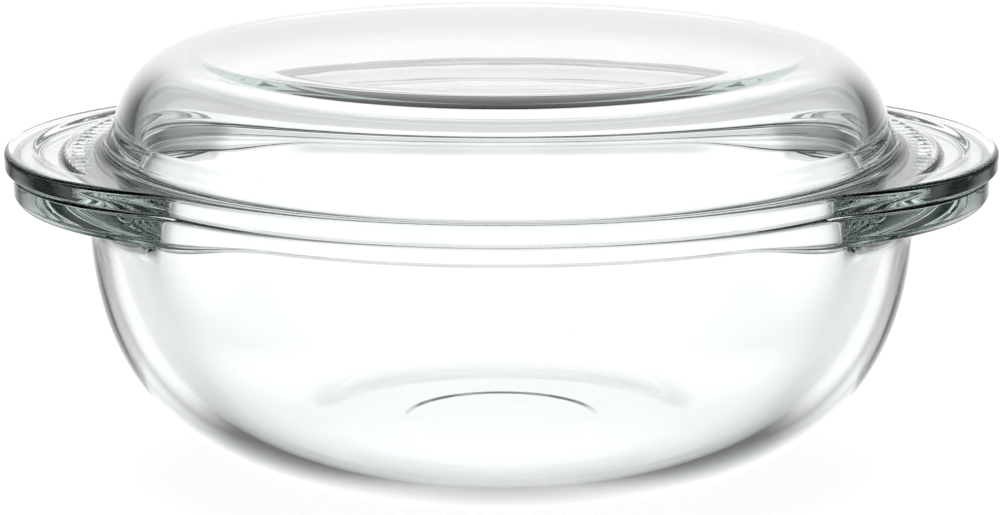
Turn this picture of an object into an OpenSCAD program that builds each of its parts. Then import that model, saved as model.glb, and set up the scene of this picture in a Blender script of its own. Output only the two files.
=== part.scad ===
// Covered casserole dish in clear pressed glass: a bowl and a lift-off lid.
// Millimetres. Origin at the centre of the foot, +Z up, handles along +X and -X.

/* [Bowl] */
// Height of the bowl, from the table to its rim
bowl_h = 84.3; // [70:0.1:110]
// Radius of the round rim, without the handles
rim_r = 117.8; // [105:0.1:125]
// Radius of the bowl's wall just under the rim
wall_r = 116.5; // [100:0.1:124]
// Height of the rim band
rim_band = 4.1; // [3:0.1:8]
// Radius of the foot where the wall leaves the table
foot_r = 53; // [40:1:70]
// Width of the ring that touches the table
foot_ring = 23; // [10:1:30]
// Depth of the hollow inside the foot ring
foot_hollow = 0.3; // [0.2:0.1:1]
// Thickness of the glass at the rim
rim_wall = 7.2; // [5:0.1:10]
// Thickness of the floor, from the table
floor_t = 5.4; // [4:0.1:9]
// Radius of the flat part of the floor
floor_r = 48; // [30:1:60]

/* [Handles] */
// Length over the lid's two handles
lid_l = 280; // [270:1:310]
// Length over the bowl's two handles
bowl_l = 275.4; // [265:0.1:305]
// Radius of each handle's rounded outline
handle_r = 86; // [75:1:95]
// Radius of the hollow curve between a handle and the round rim
handle_blend = 40; // [20:1:60]
// Thickness of the bowl's handles
bowl_handle_t = 9.1; // [6:0.1:12]

/* [Lid] */
// Thickness of the lid's rim and handles
lid_rim_t = 5.7; // [4:0.1:8]
// Height of the lid above the bowl's rim
lid_h = 33; // [25:0.5:45]
// Radius of the flat top
top_r = 85.6; // [70:0.1:92]
// Outer radius of the shoulder between the top and the wall
shoulder_r = 23.5; // [15:0.5:25]
// Radius of the dome where it meets the lid's rim
dome_r = 111.2; // [109.5:0.1:114]
// Radius of the hollow curve at the foot of the dome
dome_fillet = 3.4; // [1:0.1:4]
// Thickness of the lid's wall and top
lid_wall = 6; // [5:0.1:8]
// Height of the locating skirt that drops inside the bowl
skirt_h = 2.4; // [1.5:0.1:4]
// Gap all round between the skirt and the bowl
skirt_gap = 1.2; // [0.5:0.1:2]
// Width of the raised edge round each thumb hollow
bead_w = 8; // [5:0.5:12]
// Inner radius of each thumb hollow
thumb_r = 122.5; // [120:0.5:126]
// Depth of each thumb hollow
thumb_depth = 1.2; // [0.5:0.1:2]
// Number of plain ribs on each lid handle
rib_count = 13; // [5:2:17]

/* [Hidden] */
$fn = 144;

glass_green = [0.80, 0.88, 0.86, 0.45];
edge_r = 1.6; // rounding of rim and handle edges
under_r = 3; // rounding of the handles' lower edge
clear = 1; // how far a cut runs past the glass
inner_r = rim_r - rim_wall - edge_r / 2; // bowl's mouth
foot_slope = 4; // width of the slope inside the foot ring
web_root = 0.96; // how deep a web starts inside the rim and the handle
wall_power = 2.7; // how quickly the wall turns upright
arc_n = 5; // steps in a small rounding
curve_n = 26; // steps in the bowl's wall
lid_z = bowl_h + lid_rim_t; // top face of the lid's rim
top_z = bowl_h + lid_h;
shoulder_z = top_z - shoulder_r;
skirt_r = inner_r - skirt_gap;
skirt_wall = 4.2; // thickness of the skirt
skirt_edge = 0.8; // bevel of the skirt's lower edge
straight_h = 2; // how far the skirt's inside runs straight above the bowl's rim
shoulder_from = 6; // degrees at which the wall turns into the shoulder
shoulder_n = 16; // steps in the shoulder
lid_inner_r = skirt_r - skirt_wall; // inside of the skirt
rib_r = 118.6; // middle of the row of ribs
rib_size = [3.2, 1.1, 0.35]; // length along the radius, width and height
rib_root = 0.5; // how deep a rib starts inside the handle
rib_pitch = 2.6; // degrees from one rib to the next

function arc(c, r, from, to, n = arc_n) =
    [for (i = [0 : n]) let (a = from + (to - from) * i / n) c + r * [cos(a), sin(a)]];

// wall radius at a share s of its height: flat at the foot and upright at the rim
function wall_at(low_r, high_r, s) = low_r + (high_r - low_r) * sqrt(1 - pow(1 - s, wall_power));

function wall_curve(low_r, high_r, low_z, high_z) =
    [for (i = [0 : curve_n]) let (s = pow(i / curve_n, 2))
        [wall_at(low_r, high_r, s), low_z + (high_z - low_z) * s]];

function reversed(list) = [for (i = [len(list) - 1 : -1 : 0]) list[i]];

// a disc with rounded edges, centred on its own axis
module rounded_disc(r, low_z, high_z, low_edge, high_edge) {
    rotate_extrude()
        polygon(concat(
            [[0, low_z]],
            arc([r - low_edge, low_z + low_edge], low_edge, -90, 0),
            arc([r - high_edge, high_z - high_edge], high_edge, 0, 90),
            [[0, high_z]]));
}

// a hollow-curved web that leads the round rim into one side of a handle
module blend_web(length, low_z, high_z) {
    handle_x = length / 2 - handle_r;
    far_r = rim_r + handle_blend;
    side_r = handle_r + handle_blend;
    x = (far_r * far_r - side_r * side_r + handle_x * handle_x) / (2 * handle_x);
    y = sqrt(far_r * far_r - x * x);
    on_rim = [x, y] * rim_r / far_r;
    on_handle = [handle_x, 0] + ([x, y] - [handle_x, 0]) * handle_r / side_r;
    translate([0, 0, low_z])
        linear_extrude(high_z - low_z)
            difference() {
                polygon([on_rim * web_root, on_rim, [x, y], on_handle, on_handle * web_root]);
                translate([x, y]) circle(handle_blend);
            }
}

// two handle discs and their four webs
module handles(length, low_z, high_z, low_edge) {
    handle_x = length / 2 - handle_r;
    for (side = [-1, 1]) {
        translate([side * handle_x, 0, 0])
            rounded_disc(handle_r, low_z, high_z, low_edge, edge_r);
        for (end = [-1, 1])
            scale([side, end, 1]) blend_web(length, low_z + low_edge / 2, high_z - edge_r / 2);
    }
}

module bowl_outside() {
    band_z = bowl_h - rim_band;
    hollow_r = foot_r - foot_ring;
    rotate_extrude()
        polygon(concat(
            [[0, foot_hollow], [hollow_r - foot_slope, foot_hollow], [hollow_r, 0]],
            wall_curve(foot_r, wall_r, 0, band_z),
            arc([rim_r - edge_r / 2, band_z + edge_r / 2], edge_r / 2, -90, 0),
            arc([rim_r - edge_r, bowl_h - edge_r], edge_r, 0, 90),
            [[0, bowl_h]]));
}

module bowl_inside() {
    mouth_r = inner_r + edge_r / 2;
    rotate_extrude()
        polygon(concat(
            [[0, floor_t]],
            wall_curve(floor_r, inner_r, floor_t, bowl_h - edge_r),
            [[mouth_r, bowl_h], [mouth_r, bowl_h + clear], [0, bowl_h + clear]]));
}

module bowl() {
    color(glass_green)
        difference() {
            union() {
                bowl_outside();
                handles(bowl_l, bowl_h - bowl_handle_t, bowl_h, under_r);
            }
            bowl_inside();
        }
}

module lid_outside() {
    low_z = bowl_h - skirt_h;
    rotate_extrude()
        polygon(concat(
            [[0, low_z], [skirt_r - skirt_edge, low_z], [skirt_r, low_z + skirt_edge], [skirt_r, bowl_h]],
            arc([rim_r - edge_r / 2, bowl_h + edge_r / 2], edge_r / 2, -90, 0),
            arc([rim_r - edge_r, lid_z - edge_r], edge_r, 0, 90),
            reversed(arc([dome_r + dome_fillet, lid_z + dome_fillet], dome_fillet, 180, 270)),
            arc([top_r, shoulder_z], shoulder_r, shoulder_from, 90, shoulder_n),
            [[0, top_z]]));
}

module lid_inside() {
    inside_r = shoulder_r - lid_wall;
    low_z = bowl_h - skirt_h - clear;
    rotate_extrude()
        polygon(concat(
            [[0, low_z], [lid_inner_r, low_z], [lid_inner_r, bowl_h + straight_h]],
            arc([top_r, shoulder_z], inside_r, 0, 90, shoulder_n),
            [[0, shoulder_z + inside_r]]));
}

module thumb_hollow() {
    translate([0, 0, lid_z - thumb_depth])
        difference() {
            translate([lid_l / 2 - handle_r, 0, 0])
                cylinder(r = handle_r - bead_w, h = thumb_depth + clear);
            translate([0, 0, -clear]) cylinder(r = thumb_r, h = thumb_depth + 3 * clear);
        }
}

module ribs() {
    for (i = [0 : rib_count - 1])
        rotate([0, 0, (i - (rib_count - 1) / 2) * rib_pitch])
            translate([rib_r - rib_size[0] / 2, -rib_size[1] / 2, lid_z - rib_root])
                cube([rib_size[0], rib_size[1], rib_size[2] + rib_root]);
}

module lid() {
    color(glass_green)
        difference() {
            union() {
                lid_outside();
                handles(lid_l, bowl_h, lid_z, edge_r / 2);
                for (turn = [0, 180]) rotate([0, 0, turn]) ribs();
            }
            lid_inside();
            for (turn = [0, 180]) rotate([0, 0, turn]) thumb_hollow();
        }
}

bowl();
lid();
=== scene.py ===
import math

import bmesh
import bpy
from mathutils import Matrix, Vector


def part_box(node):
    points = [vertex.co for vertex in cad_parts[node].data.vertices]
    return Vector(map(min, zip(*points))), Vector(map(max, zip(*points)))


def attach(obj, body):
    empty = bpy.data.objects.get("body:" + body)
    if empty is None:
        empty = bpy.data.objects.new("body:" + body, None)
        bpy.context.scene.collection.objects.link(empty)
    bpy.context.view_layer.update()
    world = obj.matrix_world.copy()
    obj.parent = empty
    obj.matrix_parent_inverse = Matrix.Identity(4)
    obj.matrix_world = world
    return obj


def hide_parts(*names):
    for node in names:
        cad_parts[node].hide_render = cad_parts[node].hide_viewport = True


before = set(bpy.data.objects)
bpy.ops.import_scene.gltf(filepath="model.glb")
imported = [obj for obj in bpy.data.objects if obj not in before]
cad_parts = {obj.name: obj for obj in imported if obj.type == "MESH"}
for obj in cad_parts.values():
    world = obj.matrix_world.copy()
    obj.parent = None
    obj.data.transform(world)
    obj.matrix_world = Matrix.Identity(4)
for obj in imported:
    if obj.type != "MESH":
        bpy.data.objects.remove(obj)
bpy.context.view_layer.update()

scene = bpy.context.scene
bowlLow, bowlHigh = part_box("bowl")
lidLow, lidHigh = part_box("lid")
mm = 0.001


# outlines and profiles are in millimetres; spunGlass turns them into metres
def smooth(x, low, high):
    t = min(1.0, max(0.0, (x - low) / (high - low)))
    return t * t * (3 - 2 * t)


def mix(low, high, share):
    return low + (high - low) * share


def shares(steps, first=1):
    return [i / steps for i in range(first, steps + 1)]


# the angle away from the handles' axis, the same on all four quarters
def folded(angle):
    return abs(math.atan2(math.sin(angle), abs(math.cos(angle))))


def arcPoints(centreR, centreZ, radius, fromDeg, toDeg, steps):
    made = []
    for share in shares(steps, 0):
        a = math.radians(mix(fromDeg, toDeg, share))
        made.append((centreR + radius * math.cos(a), centreZ + radius * math.sin(a)))
    return made


# radius of the plan outline at an angle: the round rim, a handle's arc, and a hollow curve between them
def outlineRadius(angle, piece):
    rimR, handleR, blendR = piece["rimR"], piece["handleR"], piece["blendR"]
    offset = piece["length"] / 2 - handleR
    farRim, farHandle = rimR + blendR, handleR + blendR
    blendX = (farRim ** 2 - farHandle ** 2 + offset ** 2) / (2 * offset)
    blendY = math.sqrt(farRim ** 2 - blendX ** 2)
    endRim = math.atan2(blendY, blendX)
    touchX = offset + (blendX - offset) * handleR / farHandle
    touchY = blendY * handleR / farHandle
    a = folded(angle)
    if a >= endRim:
        return rimR
    if a <= math.atan2(touchY, touchX):
        return offset * math.cos(a) + math.sqrt(handleR ** 2 - (offset * math.sin(a)) ** 2)
    turn = endRim - a
    return farRim * math.cos(turn) - math.sqrt(blendR ** 2 - (farRim * math.sin(turn)) ** 2)


spin = {"mergeWithin": 0.0005, "bowlSteps": 320, "bowlCrowd": 0.5, "lidSteps": 384, "lidCrowd": 0.6}


# a closed body of glass: spins the profile of one angle right round, then lets each point follow its own angle
def spunGlass(name, profileAt, steps, crowd):
    bm = bmesh.new()
    tag = bm.verts.layers.int.new("place")
    chain = []
    for k, (r, z) in enumerate(profileAt(0.0)):
        v = bm.verts.new((r, 0, z))
        v[tag] = k
        chain.append(v)
    edges = [bm.edges.new(pair) for pair in zip(chain, chain[1:])]
    bmesh.ops.spin(bm, geom=chain + edges, cent=(0, 0, 0), axis=(0, 0, 1), dvec=(0, 0, 0),
                   angle=math.tau, steps=steps, use_merge=True, use_duplicate=False)
    known = {}
    for v in bm.verts:
        a = math.atan2(v.co.y, v.co.x)
        a -= crowd * math.sin(2 * a) / 2  # more faces at the handles, fewer between
        key = round(a, 6)
        if key not in known:
            known[key] = profileAt(a)
        r, z = known[key][v[tag]]
        v.co = (r * math.cos(a), r * math.sin(a), z)
    bmesh.ops.remove_doubles(bm, verts=bm.verts, dist=spin["mergeWithin"])
    bmesh.ops.recalc_face_normals(bm, faces=bm.faces)
    bmesh.ops.scale(bm, verts=bm.verts, vec=(mm, mm, mm))
    for f in bm.faces:
        f.smooth = True
    mesh = bpy.data.meshes.new(name)
    bm.to_mesh(mesh)
    bm.free()
    piece = bpy.data.objects.new(name, mesh)
    scene.collection.objects.link(piece)
    print(name, "has", len(mesh.polygons), "faces")
    return piece


bowl = {
    "rimR": 117.8, "wallR": 116.5, "mouthR": 109.8,  # rim, outside of the wall, inside of the wall
    "floor": 5.4, "floorR": 48.0, "wallPower": 2.7,  # a higher power turns the wall upright sooner
    "footR": 53.0, "footRing": 23.0, "footSlope": 3.5, "footHollow": 0.2, "footLip": 1.2,
    "rimBand": 4.1, "easeHeight": 9.0,  # the wall eases out into the rim band over this height
    "handleThick": 9.1, "handleR": 86.0, "blendR": 40.0,
    "handleFillet": 5.6, "filletReach": 6.0,  # under a handle the wall turns out flat from this reach on
    "edge": 1.6, "bandEdge": 0.3, "underEdge": 3.0,
    "taper": (40, 60),  # degrees over which a handle thins to the rim band
    "relief": 0.06,  # half the gap between the meeting faces of bowl and lid
    "wallSteps": 44,
}
bowl["top"] = bowlHigh.z / mm - bowl["relief"]
bowl["length"] = (bowlHigh.x - bowlLow.x) / mm


def wallRadius(lowR, highR, s):
    return mix(lowR, highR, math.sqrt(max(0.0, 1 - (1 - s) ** bowl["wallPower"])))


def footPoints(b):
    flatR = b["footR"] - b["footRing"]
    hollowR = flatR - b["footSlope"]
    points = [(hollowR * r / 8, b["footHollow"]) for r in range(8)]
    points += [(hollowR + b["footSlope"] * t, b["footHollow"] * (1 - smooth(t, 0, 1))) for t in shares(8, 0)]
    points += [(mix(flatR, b["footR"], t), 0.0) for t in (0.25, 0.5, 0.75)]
    return points + [(b["footR"] - b["footLip"], 0.0)]


def bowlProfile(angle):
    b = bowl
    edgeR = outlineRadius(angle, b)
    inHandle = 1 - smooth(math.degrees(folded(angle)), *b["taper"])
    under = b["top"] - mix(b["rimBand"], b["handleThick"], inHandle)
    turnOut = smooth(edgeR - b["rimR"], 0.0, b["filletReach"])
    fillet = mix(b["easeHeight"], b["handleFillet"], turnOut)
    lowEdge = mix(b["bandEdge"], b["underEdge"], inHandle)
    points = footPoints(b)
    bandZ = b["top"] - b["rimBand"]
    stopZ = under - fillet  # the wall ends here, where it turns out under the flange
    for t in shares(b["wallSteps"]):
        s = stopZ / bandZ * t ** 2
        points.append((wallRadius(b["footR"], b["wallR"], s), bandZ * s))
    wallEnd = points[-1][0]
    reachOut = max(edgeR - lowEdge, wallEnd + b["bandEdge"])
    filletR = min(fillet, (reachOut - wallEnd) * 0.95)
    for t in shares(8):
        a = math.pi / 2 * t
        ease = mix(smooth(t, 0, 1), 1 - math.cos(a), turnOut)
        climb = mix(t, math.sin(a), turnOut)
        points.append((wallEnd + filletR * ease, stopZ + fillet * climb))
    startR = points[-1][0]
    points += [(mix(startR, reachOut, t), under) for t in shares(8)]
    points += arcPoints(edgeR - lowEdge, under + lowEdge, lowEdge, -90, 0, 7)[1:]
    points.append((edgeR, (under + lowEdge + b["top"] - b["edge"]) / 2))
    points += arcPoints(edgeR - b["edge"], b["top"] - b["edge"], b["edge"], 0, 90, 6)
    mouthEdge = b["mouthR"] + b["edge"]
    points += [(mix(edgeR - b["edge"], mouthEdge, t), b["top"]) for t in shares(14)[:-1]]
    highZ = b["top"] - b["edge"]
    points += arcPoints(mouthEdge, highZ, b["edge"], 90, 180, 6)
    for t in reversed(shares(b["wallSteps"])[:-1]):
        points.append((wallRadius(b["floorR"], b["mouthR"], t ** 2), mix(b["floor"], highZ, t ** 2)))
    return points + [(b["floorR"] * r / 8, b["floor"]) for r in range(8, -1, -1)]


lid = {
    "rimR": 117.8, "handleR": 86.0, "blendR": 40.0, "rimThick": 5.7, "edge": 1.6, "lowEdge": 0.8,
    "topR": 85.6, "shoulderR": 23.5, "domeR": 111.2, "domeFillet": 3.4, "wall": 6.0,
    "wallLean": 6,  # degrees at which the dome's wall turns into its shoulder
    "skirtR": 108.8, "skirtWall": 4.2, "skirtDrop": 2.4, "skirtEdge": 0.9, "skirtRoot": 0.5, "straight": 2.0,
    "beadWidth": 8.0, "thumbR": 122.5, "thumbDepth": 1.2,  # hollow for a thumb on each handle
    "hollowStart": (-0.2, 1.6), "hollowSide": (-0.4, 3.0),  # how softly its inner and outer edges fall
    "ribR": 118.6, "ribLength": 3.2, "ribWidth": 1.1, "ribHeight": 0.35, "ribCount": 13, "ribPitch": 2.6,
    "ribEnds": (-0.3, 0.5), "ribSide": 0.25,
    "relief": 0.06,
}
lid["low"] = bowlHigh.z / mm + lid["relief"]
lid["rimTop"] = bowlHigh.z / mm + lid["rimThick"]
lid["top"] = lidHigh.z / mm
lid["length"] = (lidHigh.x - lidLow.x) / mm


def ribHeightAt(angle, r):
    along = smooth(lid["ribLength"] / 2 - abs(r - lid["ribR"]), *lid["ribEnds"])
    a = math.degrees(folded(angle))
    nearest = round(a / lid["ribPitch"])
    if along == 0 or nearest > (lid["ribCount"] - 1) / 2:
        return 0.0
    across = math.radians(abs(a - nearest * lid["ribPitch"])) * lid["ribR"]
    return lid["ribHeight"] * along * smooth(lid["ribWidth"] / 2 - across, -lid["ribSide"], lid["ribSide"])


def lidTopFace(angle, r, hollowR):
    start, end = lid["hollowStart"]
    inside = smooth(r, lid["thumbR"] + start, lid["thumbR"] + end)
    depth = lid["thumbDepth"] * inside * smooth(hollowR - r, *lid["hollowSide"])
    return lid["rimTop"] - depth + ribHeightAt(angle, r)


def lidProfile(angle):
    d = lid
    edgeR = outlineRadius(angle, d)
    offset = d["length"] / 2 - d["handleR"]
    hollowSide = d["handleR"] - d["beadWidth"]
    side = offset * math.sin(angle)
    hollowR = -1.0  # no thumb hollow at this angle
    if abs(side) < hollowSide:
        hollowR = offset * abs(math.cos(angle)) + math.sqrt(hollowSide ** 2 - side ** 2)
    shoulderZ = d["top"] - d["shoulderR"]
    insideR = d["shoulderR"] - d["wall"]
    innerR = d["skirtR"] - d["skirtWall"]
    points = [(d["topR"] * r / 10, shoulderZ + insideR) for r in range(10)]
    points += arcPoints(d["topR"], shoulderZ, insideR, 90, 0, 18)
    wallR, wallZ = points[-1]
    points += [(mix(wallR, innerR, t), mix(wallZ, d["low"] + d["straight"], t)) for t in shares(7)]
    edgeZ = d["low"] - d["skirtDrop"] + d["skirtEdge"]
    points += [(innerR, d["low"]), (innerR, edgeZ)]
    points += arcPoints(innerR + d["skirtEdge"], edgeZ, d["skirtEdge"], 200, 270, 4)
    points += arcPoints(d["skirtR"] - d["skirtEdge"], edgeZ, d["skirtEdge"], 270, 360, 5)
    rootZ = d["low"] - d["skirtRoot"]
    points += [(d["skirtR"], rootZ)]
    points += arcPoints(d["skirtR"] + d["skirtRoot"], rootZ, d["skirtRoot"], 170, 90, 3)
    startR = points[-1][0]
    points += [(mix(startR, edgeR - d["lowEdge"], t), d["low"]) for t in shares(12)]
    points += arcPoints(edgeR - d["lowEdge"], d["low"] + d["lowEdge"], d["lowEdge"], -75, 0, 5)
    sideTop = d["rimTop"] - d["edge"]
    points += [(edgeR, d["low"] + 2.0), (edgeR, sideTop - 0.6)]  # keeps the rim's side face flat
    points += arcPoints(edgeR - d["edge"], sideTop, d["edge"], 0, 90, 7)
    filletEnd = d["domeR"] + d["domeFillet"]
    for t in shares(46)[:-1]:
        r = mix(edgeR - d["edge"], filletEnd, t)
        points.append((r, lidTopFace(angle, r, hollowR)))
    points += arcPoints(filletEnd, d["rimTop"] + d["domeFillet"], d["domeFillet"], 270, 180, 8)
    points += arcPoints(d["topR"], shoulderZ, d["shoulderR"], d["wallLean"], 90, 22)
    return points + [(d["topR"] * r / 10, d["top"]) for r in range(9, -1, -1)]


print("making the glass")
bowlGlass = spunGlass("bowlGlass", bowlProfile, spin["bowlSteps"], spin["bowlCrowd"])
lidGlass = spunGlass("lidGlass", lidProfile, spin["lidSteps"], spin["lidCrowd"])


# a socket that can stand in sums: each operator adds its Math node
class Wire:
    def __init__(self, tree, socket=None):
        self.tree, self.socket = tree, socket

    # any node: its settings first, then the values or links of its sockets; returns the named output
    def node(self, kind, settings=None, sockets=None, out=0):
        made = self.tree.nodes.new(kind)
        for key, value in (settings or {}).items():
            setattr(made, key, value)
        for key, value in (sockets or {}).items():
            if isinstance(value, Wire):
                self.tree.links.new(value.socket, made.inputs[key])
            else:
                made.inputs[key].default_value = value
        return Wire(self.tree, made.outputs[out]) if made.outputs else made

    def math(self, operation, *values):
        return self.node("ShaderNodeMath", {"operation": operation}, dict(enumerate(values)))

    def __add__(self, other):
        return self.math("ADD", self, other)

    def __radd__(self, other):
        return self.math("ADD", other, self)

    def __sub__(self, other):
        return self.math("SUBTRACT", self, other)

    def __rsub__(self, other):
        return self.math("SUBTRACT", other, self)

    def __mul__(self, other):
        return self.math("MULTIPLY", self, other)

    def __rmul__(self, other):
        return self.math("MULTIPLY", other, self)

    # 0 below low, 1 above high, and a soft step between
    def step(self, low, high):
        return self.node("ShaderNodeMapRange", {"interpolation_type": "SMOOTHSTEP"},
                         {"Value": self, "From Min": low, "From Max": high})

    # 1 between the two soft steps, 0 outside them
    def between(self, low, high):
        return self.step(*low) * (1 - self.step(*high))


glass = {
    "ior": 1.475, "tint": (0.99, 0.996, 0.994, 1), "body": (0.12, 0.34, 0.30, 1), "density": 5.0,
    "waveScale": 26.0, "waveStrength": 0.02, "waveDepth": 0.001,
    "smudgeScale": 60.0, "smudgeFrom": (0.5, 0.9), "smudgeRough": 0.02,
}


def glassMaterial(name):
    made = bpy.data.materials.new(name)
    made.use_nodes = True
    made.node_tree.nodes.clear()
    w = Wire(made.node_tree)
    place = w.node("ShaderNodeTexCoord", out="Object")
    wave = w.node("ShaderNodeTexNoise", sockets={
        "Vector": place, "Scale": glass["waveScale"], "Detail": 1.5, "Roughness": 0.4})
    bump = w.node("ShaderNodeBump", sockets={
        "Height": wave, "Strength": glass["waveStrength"], "Distance": glass["waveDepth"]})
    smudge = w.node("ShaderNodeTexNoise", sockets={"Vector": place, "Scale": glass["smudgeScale"], "Detail": 5.0})
    shader = w.node("ShaderNodeBsdfPrincipled", sockets={
        "Base Color": glass["tint"], "Roughness": smudge.step(*glass["smudgeFrom"]) * glass["smudgeRough"],
        "IOR": glass["ior"], "Transmission Weight": 1.0, "Normal": bump})
    body = w.node("ShaderNodeVolumeAbsorption", sockets={"Color": glass["body"], "Density": glass["density"]})
    w.node("ShaderNodeOutputMaterial", sockets={"Surface": shader, "Volume": body})
    return made


clearGlass = glassMaterial("clearGlass")
for piece, node in ((bowlGlass, "bowl"), (lidGlass, "lid")):
    piece.data.materials.append(clearGlass)
    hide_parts(node)
    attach(piece, node)
print("glass finished")

# brightness of the world that the glass sees; pairs are soft steps in degrees
studio = {
    "white": 1.27, "above": 0.045, "below": 0.13, "level": (-6, 14),
    "mainWide": (10, 36), "mainLow": (-95, -20), "mainHigh": (48, 60),  # the light behind the dish
    "wall": 0.3, "wallLow": (-8, -3), "wallHigh": (15, 21),  # a wall a little less bright than the paper
    "panel": (9, 20), "panelShare": 0.9,  # round panels, each at a turn and a height
    "panels": ((-45, -25), (45, -25), (-90, -6), (90, -6), (-135, -15), (135, -15), (180, -12)),
    "paper": 0.9, "paperR": 9.0,
    "overheadAt": (0, 0.1, 1.5), "overheadSize": 1.6, "overheadEnergy": 9.0,
    "cameraSide": -0.0004, "cameraBack": 0.9, "cameraHigh": 0.2557, "pitch": 12.51, "lens": 116.3, "sensor": 36,
}


# only the camera sees paper; the glass sees the lit panels of the world
def stagePiece(name, bm, shade):
    mesh = bpy.data.meshes.new(name)
    bm.to_mesh(mesh)
    bm.free()
    made = bpy.data.objects.new(name, mesh)
    scene.collection.objects.link(made)
    made.data.materials.append(shade)
    made.visible_transmission = False
    made.visible_glossy = False
    made.visible_diffuse = False
    made.visible_shadow = False


paper = bpy.data.materials.new("palePaper")
paper.use_nodes = True
paper.node_tree.nodes.clear()
w = Wire(paper.node_tree)
paperShade = w.node("ShaderNodeBsdfPrincipled", sockets={
    "Base Color": (0.8, 0.8, 0.8, 1), "Roughness": 0.9, "Specular IOR Level": 0.0,
    "Emission Color": (1, 1, 1, 1), "Emission Strength": studio["paper"]})
w.node("ShaderNodeOutputMaterial", sockets={"Surface": paperShade})

bm = bmesh.new()
bmesh.ops.create_circle(bm, cap_ends=True, radius=studio["paperR"], segments=96)
stagePiece("floor", bm, paper)
bm = bmesh.new()
bmesh.ops.create_uvsphere(bm, u_segments=48, v_segments=24, radius=studio["paperR"])
stagePiece("backdrop", bm, paper)

overhead = bpy.data.lights.new("overhead", "AREA")
overhead.shape = "DISK"
overhead.size = studio["overheadSize"]
overhead.energy = studio["overheadEnergy"]
overheadObject = bpy.data.objects.new("overhead", overhead)
overheadObject.location = studio["overheadAt"]
overheadObject.visible_transmission = False
overheadObject.visible_glossy = False
overheadObject.visible_camera = False
scene.collection.objects.link(overheadObject)

world = bpy.data.worlds.new("studio")
scene.world = world
world.use_nodes = True
world.node_tree.nodes.clear()
w = Wire(world.node_tree)
degrees = 180 / math.pi
way = w.node("ShaderNodeTexCoord", out="Generated")
parts = way.node("ShaderNodeSeparateXYZ", sockets={"Vector": way}).socket.node.outputs
wayX, wayY, wayZ = (Wire(w.tree, parts[k]) for k in "XYZ")
elevation = w.math("ARCSINE", wayZ) * degrees
turn = w.math("ABSOLUTE", w.math("ARCTAN2", wayX, wayY)) * degrees
lit = (1 - turn.step(*studio["mainWide"])) * elevation.between(studio["mainLow"], studio["mainHigh"])
lit = lit * (1 - studio["wall"] * elevation.between(studio["wallLow"], studio["wallHigh"]))
for side, height in studio["panels"]:
    sideR, heightR = math.radians(side), math.radians(height)
    flat = math.cos(heightR)
    aim = wayX * (math.sin(sideR) * flat) + wayY * (math.cos(sideR) * flat) + wayZ * math.sin(heightR)
    off = w.math("ARCCOSINE", w.math("MINIMUM", aim, 1.0)) * degrees
    lit = w.math("MAXIMUM", lit, (1 - off.step(*studio["panel"])) * studio["panelShare"])
dim = studio["below"] + (studio["above"] - studio["below"]) * elevation.step(*studio["level"])
glow = dim + (studio["white"] - dim) * lit
sky = w.node("ShaderNodeBackground", sockets={"Color": (1, 1, 1, 1), "Strength": glow})
w.node("ShaderNodeOutputWorld", sockets={"Surface": sky})
print("studio lit")

camera = bpy.data.cameras.new("camera")
camera.lens = studio["lens"]
camera.sensor_width = studio["sensor"]
cameraObject = bpy.data.objects.new("camera", camera)
cameraObject.location = (studio["cameraSide"], -studio["cameraBack"], studio["cameraHigh"])
cameraObject.rotation_euler = (math.radians(90 - studio["pitch"]), 0, 0)
scene.collection.objects.link(cameraObject)
scene.camera = cameraObject

scene.view_settings.view_transform = "Standard"
scene.cycles.max_bounces = 40
scene.cycles.transmission_bounces = 40
scene.cycles.glossy_bounces = 24
scene.cycles.diffuse_bounces = 3
scene.cycles.transparent_max_bounces = 16
